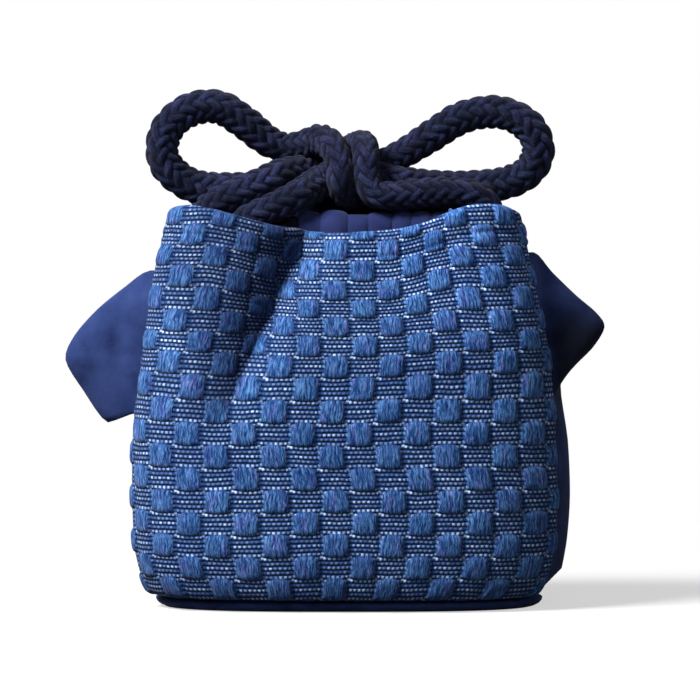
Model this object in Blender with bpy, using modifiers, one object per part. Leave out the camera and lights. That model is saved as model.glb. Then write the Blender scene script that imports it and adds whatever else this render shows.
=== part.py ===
"""Drawstring pouch, drawn shut and tied with a bow. Millimetre sizes, metre output.

The front faces -Y, up is +Z and the origin is the middle of the underside.
Nodes: front_panel and back_panel (checker-weave cloth with raised blocks),
inner_bag (navy cotton bag with its side folds and gathered neck),
front_channel and back_channel (gathered cord channels), left_cord and
right_cord (each one runs through both channels and makes one loop of the bow).
"""

import bpy
import bmesh
import math
from mathutils import Vector

MM = 0.001

# Cloth and cord
PANEL_THICK = 1.8
BLOCK_RELIEF = 0.8
BLOCK_INSET = 1.0
HEM_FOLD = 1.3
BAG_THICK = 1.0
CHANNEL_WALL = 1.0
CORD_R = 4.4
CORD_R_CHANNEL = 3.4
FIT_GAP = 1.0
WALL_GAP = 1.2
CORD_GAP = 0.5

# Weave
COLUMNS = 16
ROWS = 18

# Body: height, left half width, right half width, half depth
BODY = (
    (0.0, 52.0, 51.0, 28.0),
    (3.0, 55.5, 54.5, 30.0),
    (8.0, 58.0, 57.5, 31.5),
    (16.0, 59.8, 59.6, 32.8),
    (32.0, 60.2, 60.3, 33.8),
    (50.0, 60.2, 59.0, 33.5),
    (70.0, 58.2, 55.8, 32.0),
    (90.0, 55.0, 51.5, 29.5),
    (109.0, 50.5, 47.5, 27.0),
)
SECTION_POWER_LOW = 2.9
SECTION_POWER_HIGH = 2.4
BODY_TOP = 109.0

# How far each table's corners are rounded off, up or across
BODY_BLUR = 3.0
EDGE_BLUR = 4.0
TOP_BLUR = 5.0

# Depth at which the front panel's side edges stop: height, left, right
EDGE_DEPTH = (
    (0.0, 6.0, 15.5),
    (42.0, 6.0, 15.5),
    (58.0, 7.0, 11.5),
    (72.0, 7.0, 8.0),
    (109.0, 6.0, 6.0),
)

# Height of the front panel's top edge across the width: x, z
PANEL_BOTTOM = 3.2
PANEL_HALF_WIDTH = 55.0
TOP_EDGE = (
    (-60.0, 107.6),
    (-48.0, 109.6),
    (-39.0, 109.2),
    (-26.0, 106.0),
    (-14.0, 102.8),
    (-8.0, 102.4),
    (8.0, 102.4),
    (15.0, 103.2),
    (22.0, 105.0),
    (31.0, 109.2),
    (41.0, 110.2),
    (48.0, 109.0),
    (60.0, 106.5),
)

# Valley pressed into the front, upper left
DENT_DEPTH = 7.0
DENT_LEFT_WIDTH = 15.0
DENT_RIGHT_WIDTH = 7.5
DENT_TOP_X = -12.5
DENT_TOP_Z = 101.0
DENT_RUN = 0.45
DENT_LOW_Z = 42.0

# Cord channels
CHANNEL_LEFT = -14.0
CHANNEL_RIGHT = 27.0
NECK_TOP = 89.5
CHANNEL_BOTTOM = NECK_TOP + 0.4
SLIT_HALF = 2.9
PLEATS = 7
PLEAT_DEPTH = 0.9
PLEAT_RISE = 0.7
CHANNEL_POWER = 3.2
CHANNEL_SIDES = 16

# Derived channel sizes
CAVITY_HALF_Y = CORD_R_CHANNEL + CORD_GAP
CAVITY_HALF_Z = 2.0 * CORD_R_CHANNEL + 1.5 * CORD_GAP
CHANNEL_HALF_Y = CAVITY_HALF_Y + CHANNEL_WALL
CHANNEL_HALF_Z = CAVITY_HALF_Z + CHANNEL_WALL
CHANNEL_Y = SLIT_HALF + CHANNEL_HALF_Y
CHANNEL_Z = CHANNEL_BOTTOM + CHANNEL_HALF_Z
LOWER_RUN_Z = CHANNEL_Z - CORD_R_CHANNEL - 0.5 * CORD_GAP
UPPER_RUN_Z = CHANNEL_Z + CORD_R_CHANNEL + 0.5 * CORD_GAP

# Bag rings: front height, edge height, left crest (x, z), right crest (x, z)
BAG_RINGS = (
    (10.0, 10.0, -57.0, 10.0, 58.0, 10.0),
    (18.0, 18.0, -58.2, 18.0, 59.4, 18.0),
    (30.0, 30.0, -58.8, 30.0, 60.2, 30.0),
    (42.0, 42.0, -59.0, 43.0, 59.6, 45.0),
    (49.0, 50.0, -59.6, 54.0, 57.6, 60.0),
    (54.0, 55.0, -66.2, 49.8, 60.6, 64.8),
    (59.0, 60.0, -73.0, 58.6, 66.2, 70.0),
    (64.0, 66.0, -77.8, 67.0, 69.6, 75.8),
    (69.0, 72.0, -75.2, 73.8, 67.4, 79.8),
    (74.0, 77.0, -68.8, 81.0, 61.8, 84.6),
    (79.0, 81.0, -61.4, 87.0, 55.2, 91.0),
    (83.0, 84.0, -54.6, 91.4, 50.2, 96.4),
)
SIDE_POWER = 1.8
# Shoulder rings up to the neck: left x, right x, half depth, front z, left z,
# right z, share that the gathers take in
SHOULDER_RINGS = (
    (-44.0, 44.5, 20.5, 85.8, 90.2, 94.0, 0.02),
    (-31.0, 37.5, 15.5, 87.8, 89.2, 90.0, 0.05),
    (-17.6, 30.6, 12.2, NECK_TOP, NECK_TOP, NECK_TOP, 0.08),
)
NECK_PLEATS = 11
NECK_POWER = 0.8
NECK_SIDE_TURN = 0.14
FRONT_STEPS = 16
SIDE_STEPS = 9

# Underside: outline's height and left and right edge, then rings of inset and height
BASE_Z = 3.0
BASE_LEFT = -55.1
BASE_RIGHT = 54.6
LEDGE_DROP = 0.5
BASE_LIP = (1.0, PANEL_BOTTOM - LEDGE_DROP - 0.2)
BASE_RINGS = ((11.0, 0.0), (4.5, 0.0), (2.2, 0.4), BASE_LIP)

NAVY = (0.030, 0.040, 0.140, 1.0)
NAVY_CORD = (0.016, 0.018, 0.070, 1.0)
INDIGO = (0.045, 0.140, 0.380, 1.0)

# Route of the cord that comes out on the left: x, y, z, radius
LEFT_FRONT_STRAND = (
    (-20.0, -8.2, 94.8, 3.4),
    (-27.0, -10.6, 96.2, 3.8),
    (-31.2, -12.6, 100.2, 4.0),
    (-28.2, -13.1, 104.7, 4.1),
    (-22.0, -13.1, 108.0, 4.0),
    (-15.0, -12.0, 111.4, 3.7),
    (-11.2, -7.8, 113.4, 3.3),
    (-8.0, -3.8, 115.6, 3.1),
    (-3.0, -2.8, 118.2, 3.0),
    (2.0, -2.8, 118.5, 3.0),
    (6.8, -3.0, 117.9, 3.2),
    (11.8, -2.8, 116.3, 3.8),
)
RIGHT_LOOP = (
    (18.0, -1.2, 114.9, 4.3),
    (27.0, 0.0, 114.2, 4.3),
    (36.0, 0.1, 114.5, 4.3),
    (43.6, 0.0, 115.6, 4.3),
    (49.0, -0.5, 118.8, 4.3),
    (51.3, -1.0, 124.2, 4.3),
    (49.3, -1.0, 129.8, 4.3),
    (44.6, -0.6, 133.5, 4.3),
    (37.6, 0.0, 134.8, 4.3),
    (30.0, 0.5, 132.9, 4.3),
    (22.4, 1.4, 128.3, 4.2),
    (16.2, 2.8, 124.4, 3.9),
)
LEFT_BACK_STRAND = (
    (11.2, 3.8, 121.7, 3.4),
    (6.6, 4.0, 119.9, 3.1),
    (2.0, 3.8, 119.3, 3.0),
    (-2.0, 3.8, 119.0, 3.0),
    (-6.5, 4.0, 118.7, 3.0),
    (-11.0, 2.6, 118.3, 3.2),
    (-15.6, -2.4, 118.3, 3.8),
    (-18.8, -5.6, 117.4, 4.1),
    (-22.6, -7.8, 115.6, 4.2),
    (-30.0, -8.4, 112.6, 4.2),
    (-36.6, -6.6, 109.2, 4.2),
    (-40.4, -2.2, 104.8, 4.2),
    (-39.0, 3.0, 99.9, 4.1),
    (-32.0, 6.6, 96.0, 3.9),
    (-22.0, 7.6, 94.8, 3.4),
)

# Route of the cord that comes out on the right
RIGHT_FRONT_STRAND = (
    (32.6, -7.7, 102.2, 3.5),
    (36.8, -7.4, 105.0, 3.9),
    (36.2, -8.2, 109.8, 4.2),
    (30.5, -9.6, 112.4, 4.2),
    (20.0, -10.4, 112.5, 4.0),
    (11.6, -11.4, 111.7, 3.5),
    (6.4, -11.4, 112.7, 3.1),
    (4.5, -10.4, 117.0, 3.05),
    (4.3, -9.0, 121.8, 3.05),
    (4.0, -4.2, 125.4, 3.1),
    (2.6, 3.4, 126.0, 3.1),
    (-0.6, 10.4, 124.0, 3.2),
    (-3.8, 12.2, 119.6, 3.4),
    (-8.2, 12.0, 116.4, 3.6),
    (-15.0, 9.2, 114.7, 4.1),
)
LEFT_LOOP = (
    (-24.0, 5.2, 114.0, 4.3),
    (-33.0, 2.6, 113.5, 4.4),
    (-41.0, 1.6, 114.0, 4.4),
    (-47.2, 0.6, 117.0, 4.4),
    (-50.9, -0.4, 122.0, 4.4),
    (-50.8, -0.6, 127.8, 4.4),
    (-47.4, -0.4, 132.8, 4.4),
    (-42.0, 0.4, 135.8, 4.4),
    (-35.2, 1.4, 135.8, 4.4),
    (-28.6, 2.6, 131.6, 4.4),
    (-22.6, 3.8, 126.9, 4.3),
    (-17.6, 4.2, 125.0, 3.9),
)
RIGHT_BACK_STRAND = (
    (-12.4, 2.8, 125.9, 3.4),
    (-7.8, -0.6, 126.9, 3.2),
    (-4.6, -6.8, 124.9, 3.1),
    (-2.9, -10.0, 120.0, 3.05),
    (-2.6, -10.4, 115.6, 3.05),
    (-1.0, -6.4, 112.2, 3.1),
    (4.0, 1.6, 111.9, 3.3),
    (11.0, 8.2, 112.1, 3.8),
    (20.0, 10.6, 112.3, 4.1),
    (30.5, 10.2, 112.3, 4.2),
    (36.2, 8.2, 109.8, 4.2),
    (36.8, 7.4, 105.0, 3.9),
    (32.6, 7.7, 102.2, 3.5),
)
CORD_STEP = 4.6
JOIN_X = 6.0
JOIN_GAP = 0.8
TURN_POINTS = 5
RUN_POINTS = 5
SMOOTH_PARTS = 8


def lerp_table(table, key, column):
    """Read one column, along straight lines between the rows of a rising table."""
    if key <= table[0][0]:
        return table[0][column]
    for low, high in zip(table, table[1:]):
        if key <= high[0]:
            share = (key - low[0]) / (high[0] - low[0])
            return low[column] + (high[column] - low[column]) * share
    return table[-1][column]


def soft_table(table, key, column, blur):
    """Average of five readings round the key, which rounds off the corners."""
    total = 0.0
    for step in (-1.0, -0.5, 0.0, 0.5, 1.0):
        total += lerp_table(table, key + step * blur, column)
    return total / 5.0


def smooth_share(value):
    """Ease a value from 0 to 1 at both ends."""
    value = min(max(value, 0.0), 1.0)
    return value * value * (3.0 - 2.0 * value)


def signed_power(value, power):
    """Power of a value's size, with its sign kept."""
    return math.copysign(abs(value) ** power, value)


def section_power(z):
    """Squareness of the body's section at a height."""
    share = smooth_share(z / BODY_TOP)
    return SECTION_POWER_LOW + (SECTION_POWER_HIGH - SECTION_POWER_LOW) * share


def body_sizes(z):
    """Left half width, right half width and half depth at a height."""
    return [soft_table(BODY, z, column, BODY_BLUR) for column in (1, 2, 3)]


def dent(x, z):
    """Depth of the valley in the front at a place."""
    centre = DENT_TOP_X - (DENT_TOP_Z - z) * DENT_RUN
    fade = smooth_share((z - DENT_LOW_Z) / (BODY_TOP - DENT_LOW_Z))
    width = DENT_LEFT_WIDTH if x < centre else DENT_RIGHT_WIDTH
    return DENT_DEPTH * fade * math.exp(-((x - centre) / width) ** 2)


def front_y(x, z, inset):
    """Depth of the body's front at a place, inset from the outside."""
    left, right, depth = body_sizes(z)
    half = (left if x < 0.0 else right) - inset
    power = section_power(z)
    share = min(abs(x) / half, 1.0)
    return -(depth - inset) * (1.0 - share ** power) ** (1.0 / power)


def edge_x(z, side, inset, depth_y):
    """Where the section reaches a given depth on the left (-1) or right (1)."""
    left, right, depth = body_sizes(z)
    half = (left if side < 0 else right) - inset
    power = section_power(z)
    share = min(depth_y / (depth - inset), 1.0)
    return side * half * (1.0 - share ** power) ** (1.0 / power)


def front_line(z, inset, left_y, right_y, count):
    """Evenly spaced places along the front from one edge to the other."""
    start = edge_x(z, -1, inset, left_y)
    end = edge_x(z, 1, inset, right_y)
    fine = 160
    places = []
    for index in range(fine + 1):
        swing = -math.cos(math.pi * index / fine)
        x = 0.5 * (start + end) + 0.5 * (end - start) * swing
        places.append((x, front_y(x, z, inset)))
    lengths = [0.0]
    for first, second in zip(places, places[1:]):
        lengths.append(lengths[-1] + math.dist(first, second))
    result = []
    walker = 0
    for index in range(count + 1):
        target = lengths[-1] * index / count
        while walker < fine - 1 and lengths[walker + 1] < target:
            walker += 1
        span = lengths[walker + 1] - lengths[walker]
        share = (target - lengths[walker]) / span
        first, second = places[walker], places[walker + 1]
        result.append((first[0] + (second[0] - first[0]) * share,
                       first[1] + (second[1] - first[1]) * share))
    return result


def make_material(name, colour, roughness):
    """Cloth material of one colour."""
    material = bpy.data.materials.new(name)
    material.use_nodes = True
    shader = material.node_tree.nodes["Principled BSDF"]
    shader.inputs["Base Color"].default_value = colour
    shader.inputs["Roughness"].default_value = roughness
    material.diffuse_color = colour
    return material


def place_object(name, data, material, collection):
    """Put named data into the part's collection."""
    item = bpy.data.objects.new(name, data)
    item.data.materials.append(material)
    collection.objects.link(item)
    return item


def apply_modifiers(item):
    """Turn the item's modifiers into its mesh."""
    graph = bpy.context.evaluated_depsgraph_get()
    final = bpy.data.meshes.new_from_object(item.evaluated_get(graph))
    item.modifiers.clear()
    old = item.data
    item.data = final
    bpy.data.meshes.remove(old)


def grid_mesh(name, rows, closed):
    """Mesh of quads through rows of points, each row closed or open."""
    mesh = bmesh.new()
    lines = [[mesh.verts.new(Vector(point) * MM) for point in row] for row in rows]
    width = len(rows[0])
    for low, high in zip(lines, lines[1:]):
        for index in range(width if closed else width - 1):
            after = (index + 1) % width
            mesh.faces.new((low[index], low[after], high[after], high[index]))
    if closed == "floor":
        mesh.faces.new(list(reversed(lines[0])))
    data = bpy.data.meshes.new(name)
    mesh.to_mesh(data)
    mesh.free()
    return data


def panel_rows(facing):
    """Rows of points over one woven panel, from the bottom edge up."""
    rows = []
    for row in range(ROWS + 1):
        share = row / ROWS
        points = []
        for column in range(COLUMNS + 1):
            rough_x = PANEL_HALF_WIDTH * (2.0 * column / COLUMNS - 1.0)
            top = soft_table(TOP_EDGE, rough_x, 1, TOP_BLUR)
            z = PANEL_BOTTOM + (top - PANEL_BOTTOM) * share
            left_y = soft_table(EDGE_DEPTH, z, 1, EDGE_BLUR)
            right_y = soft_table(EDGE_DEPTH, z, 2, EDGE_BLUR)
            line = front_line(z, BLOCK_RELIEF, left_y, right_y, COLUMNS)
            x, y = line[column]
            if facing < 0:
                y += dent(x, z)
            points.append((x, y * -facing, z))
        rows.append(points)
    return rows


def make_panel(name, facing, material, collection):
    """Woven panel: one sheet with raised blocks outside and a folded hem inside."""
    rows = panel_rows(facing)
    if facing > 0:
        rows = [list(reversed(row)) for row in rows]
    item = place_object(name, grid_mesh(name, rows, False), material, collection)
    sheet = item.modifiers.new("thickness", "SOLIDIFY")
    sheet.thickness = PANEL_THICK * MM
    sheet.offset = -1.0
    apply_modifiers(item)

    mesh = bmesh.new()
    mesh.from_mesh(item.data)
    mesh.faces.ensure_lookup_table()
    cells = COLUMNS * ROWS
    blocks = []
    for row in range(ROWS):
        for column in range(COLUMNS):
            if (row + column) % 2 == 1:
                blocks.append(mesh.faces[row * COLUMNS + column])
    hem_faces = [mesh.faces[2 * cells - 1 - column] for column in range(COLUMNS)]
    bmesh.ops.inset_individual(mesh, faces=blocks, thickness=BLOCK_INSET * MM,
                               depth=BLOCK_RELIEF * MM)
    mesh.normal_update()
    hem_push = {}
    fold = bmesh.ops.extrude_face_region(mesh, geom=hem_faces)
    for part in fold["geom"]:
        if isinstance(part, bmesh.types.BMFace):
            for vertex in part.verts:
                hem_push[vertex] = part.normal.copy()
    bmesh.ops.delete(mesh, geom=hem_faces, context="FACES")
    for vertex, normal in hem_push.items():
        vertex.co += normal * HEM_FOLD * MM
    mesh.to_mesh(item.data)
    mesh.free()
    return item


def bag_ring(front_z, edge_z, left, left_z, right, right_z, inset):
    """One closed ring of the bag: front, right side, back, left side."""
    left_y = soft_table(EDGE_DEPTH, edge_z, 1, EDGE_BLUR) - FIT_GAP
    right_y = soft_table(EDGE_DEPTH, edge_z, 2, EDGE_BLUR) - FIT_GAP
    front = []
    for index in range(FRONT_STEPS + 1):
        swing = 2.0 * index / FRONT_STEPS - 1.0
        z = front_z + (edge_z - front_z) * abs(swing) ** 3
        line = front_line(z, inset, left_y, right_y, FRONT_STEPS)
        front.append((line[index][0], line[index][1], z))
    ring = [(x, y + dent(x, z), z) for x, y, z in front]
    ring += side_points(front[-1], right, right_z)
    ring += [(x, -y, z) for x, y, z in reversed(front)]
    ring += reversed(side_points(front[0], left, left_z))
    return ring


def side_points(edge, crest_x, crest_z):
    """Points round one side of the bag, between the two panels' edges."""
    points = []
    for index in range(1, SIDE_STEPS + 1):
        share = 2.0 * index / (SIDE_STEPS + 1) - 1.0
        bulge = 1.0 - abs(share) ** SIDE_POWER
        points.append((edge[0] + (crest_x - edge[0]) * bulge,
                       -edge[1] * share,
                       edge[2] + (crest_z - edge[2]) * bulge))
    return points


def shoulder_ring(left, right, depth, front_z, left_z, right_z, wave):
    """Gathered ring between the bag's wall and its neck."""
    ring = []
    middle = 0.5 * (left + right)
    half = 0.5 * (right - left)
    side = SIDE_STEPS + 1
    front_turn = 1.0 - 2.0 * NECK_SIDE_TURN
    for index in range(2 * (FRONT_STEPS + side)):
        past = index - FRONT_STEPS - side
        if index <= FRONT_STEPS:
            share = 1.0 + NECK_SIDE_TURN + front_turn * index / FRONT_STEPS
        elif past < 0:
            share = -NECK_SIDE_TURN * (1.0 - 2.0 * (index - FRONT_STEPS) / side)
        elif past <= FRONT_STEPS:
            share = NECK_SIDE_TURN + front_turn * past / FRONT_STEPS
        else:
            share = 1.0 + NECK_SIDE_TURN * (2.0 * (past - FRONT_STEPS) / side - 1.0)
        turn = math.pi * share
        ripple = 1.0 - wave * (0.5 + 0.5 * math.cos(NECK_PLEATS * turn))
        x = middle + half * ripple * signed_power(math.cos(turn), NECK_POWER)
        y = depth * ripple * signed_power(math.sin(turn), NECK_POWER)
        side_z = left_z if x < middle else right_z
        z = front_z + (side_z - front_z) * abs(math.cos(turn)) ** 3
        ring.append((x, y, z))
    return ring


def base_ring(inset, z):
    """Ring of the bag's underside, inset from the body's outline."""
    ring = bag_ring(BASE_Z, BASE_Z, BASE_LEFT, BASE_Z, BASE_RIGHT, BASE_Z, BLOCK_RELIEF)
    left, right, depth = body_sizes(BASE_Z)
    result = []
    for x, y, _ in ring:
        half = left if x < 0.0 else right
        result.append((x * (1.0 - inset / half), y * (1.0 - inset / depth), z))
    return result


def make_bag(material, collection):
    """Navy bag: floor, walls, side folds, shoulder and gathered neck."""
    wall_inset = BLOCK_RELIEF + PANEL_THICK + WALL_GAP
    rows = [base_ring(*ring) for ring in BASE_RINGS]
    rows.append(base_ring(wall_inset, PANEL_BOTTOM - LEDGE_DROP))
    for ring in BAG_RINGS:
        rows.append(bag_ring(*ring, wall_inset))
    for ring in SHOULDER_RINGS:
        rows.append(shoulder_ring(*ring))
    item = place_object("inner_bag", grid_mesh("inner_bag", rows, "floor"), material,
                        collection)
    sheet = item.modifiers.new("thickness", "SOLIDIFY")
    sheet.thickness = BAG_THICK * MM
    sheet.offset = -1.0
    apply_modifiers(item)
    return item


def make_channel(name, facing, material, collection):
    """Gathered tube of cloth that both cords run through."""
    sections = 3 * PLEATS + 1
    rows = []
    for step in range(sections):
        along = step / (sections - 1)
        x = CHANNEL_LEFT + (CHANNEL_RIGHT - CHANNEL_LEFT) * along
        pleat = 0.5 - 0.5 * math.cos(2.0 * math.pi * PLEATS * along)
        ring = []
        for index in range(CHANNEL_SIDES):
            turn = 2.0 * math.pi * (index + 0.5) / CHANNEL_SIDES
            across = signed_power(math.cos(turn), 2.0 / CHANNEL_POWER)
            up = signed_power(math.sin(turn), 2.0 / CHANNEL_POWER)
            y = across * (CHANNEL_HALF_Y + PLEAT_DEPTH * pleat * max(across, 0.0))
            z = up * (CHANNEL_HALF_Z + PLEAT_RISE * pleat * max(up, 0.0))
            ring.append((x, facing * (CHANNEL_Y + y), CHANNEL_Z + z))
        if facing < 0:
            ring.reverse()
        rows.append(ring)
    item = place_object(name, grid_mesh(name, rows, True), material, collection)
    sheet = item.modifiers.new("thickness", "SOLIDIFY")
    sheet.thickness = CHANNEL_WALL * MM
    sheet.offset = -1.0
    apply_modifiers(item)
    return item


def turn_route(centre_x, side, z):
    """Half turn of a cord from the back channel to the front one."""
    points = []
    for index in range(TURN_POINTS):
        swing = math.pi * (0.5 - (index + 0.5) / TURN_POINTS)
        points.append((centre_x + side * CHANNEL_Y * math.cos(swing),
                       CHANNEL_Y * math.sin(swing), z, CORD_R_CHANNEL))
    return points


def straight_route(start_x, end_x, y, z):
    """Cord points along the inside of a channel."""
    last = RUN_POINTS - 1
    return [(start_x + (end_x - start_x) * index / last, y, z, CORD_R_CHANNEL)
            for index in range(RUN_POINTS)]


def cord_routes():
    """Whole route of each cord, from its hidden join to its hidden join."""
    left = straight_route(JOIN_X + JOIN_GAP, CHANNEL_RIGHT, CHANNEL_Y, LOWER_RUN_Z)
    left += turn_route(CHANNEL_RIGHT, 1.0, LOWER_RUN_Z)
    left += straight_route(CHANNEL_RIGHT, CHANNEL_LEFT, -CHANNEL_Y, LOWER_RUN_Z)
    left += LEFT_FRONT_STRAND + RIGHT_LOOP + LEFT_BACK_STRAND
    left += straight_route(CHANNEL_LEFT, JOIN_X, CHANNEL_Y, LOWER_RUN_Z)
    right = straight_route(JOIN_X, CHANNEL_LEFT, CHANNEL_Y, UPPER_RUN_Z)
    right += turn_route(CHANNEL_LEFT, -1.0, UPPER_RUN_Z)
    right += straight_route(CHANNEL_LEFT, CHANNEL_RIGHT, -CHANNEL_Y, UPPER_RUN_Z)
    right += RIGHT_FRONT_STRAND + LEFT_LOOP + RIGHT_BACK_STRAND
    right += straight_route(CHANNEL_RIGHT, JOIN_X + JOIN_GAP, CHANNEL_Y, UPPER_RUN_Z)
    return left, right


def smooth_route(route, step):
    """Evenly spaced points of the smooth curve through the route."""
    fine = []
    last = len(route) - 1
    for index in range(last):
        before = Vector(route[max(index - 1, 0)])
        start = Vector(route[index])
        end = Vector(route[index + 1])
        after = Vector(route[min(index + 2, last)])
        reach = (end - start).to_3d().length
        slope_in = (end - before) * (reach / max((end - before).to_3d().length, reach))
        slope_out = (after - start) * (reach / max((after - start).to_3d().length, reach))
        for part in range(SMOOTH_PARTS):
            t = part / SMOOTH_PARTS
            fine.append(start * (2 * t ** 3 - 3 * t ** 2 + 1)
                        + slope_in * (t ** 3 - 2 * t ** 2 + t)
                        + end * (3 * t ** 2 - 2 * t ** 3)
                        + slope_out * (t ** 3 - t ** 2))
    fine.append(Vector(route[-1]))
    lengths = [0.0]
    for first, second in zip(fine, fine[1:]):
        lengths.append(lengths[-1] + (second - first).to_3d().length)
    count = max(int(round(lengths[-1] / step)), 2)
    result = []
    walker = 0
    for index in range(count + 1):
        target = lengths[-1] * index / count
        while walker < len(fine) - 2 and lengths[walker + 1] < target:
            walker += 1
        span = max(lengths[walker + 1] - lengths[walker], 1e-9)
        share = (target - lengths[walker]) / span
        result.append(fine[walker].lerp(fine[walker + 1], share))
    return result


def make_cord(name, route, material, collection):
    """Thick cord along its route, thinner where it is squeezed."""
    points = smooth_route(route, CORD_STEP)
    curve = bpy.data.curves.new(name, "CURVE")
    curve.dimensions = "3D"
    curve.bevel_depth = CORD_R * MM
    curve.bevel_resolution = 2
    curve.use_fill_caps = True
    spline = curve.splines.new("POLY")
    spline.points.add(len(points) - 1)
    for target, point in zip(spline.points, points):
        target.co = (point[0] * MM, point[1] * MM, point[2] * MM, 1.0)
        target.radius = point[3] / CORD_R
    return place_object(name, curve, material, collection)


for leftover in list(bpy.data.objects):
    bpy.data.objects.remove(leftover, do_unlink=True)

pouch = bpy.data.collections.new("drawstring_pouch")
bpy.context.scene.collection.children.link(pouch)

make_panel("front_panel", -1, make_material("front_weave", INDIGO, 0.85), pouch)
make_panel("back_panel", 1, make_material("back_weave", INDIGO, 0.85), pouch)
make_bag(make_material("bag_cotton", NAVY, 0.9), pouch)
make_channel("front_channel", -1, make_material("front_channel_cotton", NAVY, 0.9), pouch)
make_channel("back_channel", 1, make_material("back_channel_cotton", NAVY, 0.9), pouch)
left_route, right_route = cord_routes()
make_cord("left_cord", left_route, make_material("left_cord_braid", NAVY_CORD, 0.9), pouch)
make_cord("right_cord", right_route, make_material("right_cord_braid", NAVY_CORD, 0.9), pouch)
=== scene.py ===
import math
from functools import partial
import bpy
import numpy as np
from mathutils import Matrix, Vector


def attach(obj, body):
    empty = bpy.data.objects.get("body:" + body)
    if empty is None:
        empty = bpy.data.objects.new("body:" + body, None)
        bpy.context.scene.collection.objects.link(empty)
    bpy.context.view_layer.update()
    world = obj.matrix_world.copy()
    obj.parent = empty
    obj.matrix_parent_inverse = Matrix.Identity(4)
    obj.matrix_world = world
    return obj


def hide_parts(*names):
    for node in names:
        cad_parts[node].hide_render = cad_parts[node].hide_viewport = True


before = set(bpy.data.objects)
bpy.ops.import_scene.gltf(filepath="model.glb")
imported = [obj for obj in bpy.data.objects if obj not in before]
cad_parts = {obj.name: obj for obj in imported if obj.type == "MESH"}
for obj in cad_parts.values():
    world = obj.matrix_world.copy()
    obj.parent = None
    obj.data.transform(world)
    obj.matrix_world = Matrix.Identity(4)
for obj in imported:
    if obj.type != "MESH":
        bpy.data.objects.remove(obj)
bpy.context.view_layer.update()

bpy.ops.object.select_all(action="DESELECT")
mm = 0.001


# the camera looks at the front from a little above, 0.27 mm to a pixel
cameraView = {"distance": 1.3, "elevation": 2.0, "aim": (0.0, -0.016, 0.0702),
              "pixel": 0.27, "frame": 700, "sensor": 36.0}


def makeCamera(view):
    lens = view["sensor"] * view["distance"] / (view["pixel"] * mm * view["frame"])
    tilt = math.radians(view["elevation"])
    aim = Vector(view["aim"])
    place = aim + Vector((0.0, -math.cos(tilt), math.sin(tilt))) * view["distance"]
    bpy.ops.object.camera_add(location=place, rotation=(math.pi / 2 - tilt, 0.0, 0.0))
    camera = bpy.context.object
    camera.name = "studioCamera"
    camera.data.lens = lens
    camera.data.sensor_width = view["sensor"]
    camera.data.clip_start = 0.01
    bpy.context.scene.camera = camera


makeCamera(cameraView)
print("camera placed")


# small helpers for materials and meshes
def newMaterial(name, colour, roughness, sheen, gloss=0.08):
    material = bpy.data.materials.new(name)
    material.use_nodes = True
    shader = material.node_tree.nodes["Principled BSDF"]
    shader.inputs["Base Color"].default_value = (*colour, 1.0)
    shader.inputs["Roughness"].default_value = roughness
    shader.inputs["Sheen Weight"].default_value = sheen
    shader.inputs["Sheen Roughness"].default_value = 0.5
    shader.inputs["Specular IOR Level"].default_value = gloss
    return material, material.node_tree, shader


def setOrLink(tree, socket, value):
    if isinstance(value, (int, float)):
        socket.default_value = value
    elif isinstance(value, tuple):
        socket.default_value = (*value, 1.0)
    else:
        tree.links.new(value, socket)


def mathStep(tree, operation, *values):
    node = tree.nodes.new("ShaderNodeMath")
    node.operation = operation
    for socket, value in zip(node.inputs, values):
        setOrLink(tree, socket, value)
    return node.outputs[0]


def sumsFor(tree):
    # plus, minus and times for one material
    return [partial(mathStep, tree, operation) for operation in ("ADD", "SUBTRACT", "MULTIPLY")]


def smoothMask(tree, value, low, high):
    node = tree.nodes.new("ShaderNodeMapRange")
    node.interpolation_type = "SMOOTHSTEP"
    node.inputs["From Min"].default_value = low
    node.inputs["From Max"].default_value = high
    tree.links.new(value, node.inputs["Value"])
    return node.outputs["Result"]


def joinVector(tree, x, y, z=0.0):
    node = tree.nodes.new("ShaderNodeCombineXYZ")
    for socket, value in zip(node.inputs, (x, y, z)):
        setOrLink(tree, socket, value)
    return node.outputs[0]


def splitVector(tree, vector):
    node = tree.nodes.new("ShaderNodeSeparateXYZ")
    tree.links.new(vector, node.inputs[0])
    return node.outputs[0], node.outputs[1], node.outputs[2]


def noiseAt(tree, vector, scale, detail=2.0, roughness=0.5):
    node = tree.nodes.new("ShaderNodeTexNoise")
    node.inputs["Scale"].default_value = scale
    node.inputs["Detail"].default_value = detail
    node.inputs["Roughness"].default_value = roughness
    tree.links.new(vector, node.inputs["Vector"])
    return node.outputs["Fac"]


def randomAt(tree, vector):
    node = tree.nodes.new("ShaderNodeTexWhiteNoise")
    tree.links.new(vector, node.inputs["Vector"])
    return node.outputs["Value"]


def layerValue(tree, name):
    node = tree.nodes.new("ShaderNodeAttribute")
    node.attribute_name = name
    return node.outputs["Fac"]


def colourRamp(tree, value, stops, interpolation="LINEAR"):
    node = tree.nodes.new("ShaderNodeValToRGB")
    node.color_ramp.interpolation = interpolation
    while len(node.color_ramp.elements) < len(stops):
        node.color_ramp.elements.new(0.5)
    for element, (place, colour) in zip(node.color_ramp.elements, stops):
        element.position = place
        element.color = (*colour, 1.0)
    tree.links.new(value, node.inputs["Fac"])
    return node.outputs["Color"]


def mixValue(tree, share, first, second, kind="FLOAT", blend="MIX"):
    node = tree.nodes.new("ShaderNodeMix")
    node.data_type = kind
    node.blend_type = blend
    for name, value in (("Factor", share), ("A", first), ("B", second)):
        setOrLink(tree, node.inputs[name], value)
    return node.outputs["Result"]


def mixColour(tree, share, first, second):
    return mixValue(tree, share, first, second, "RGBA")


def tinted(tree, colour, tint):
    return mixValue(tree, 1.0, colour, tint, "RGBA", "MULTIPLY")


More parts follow.
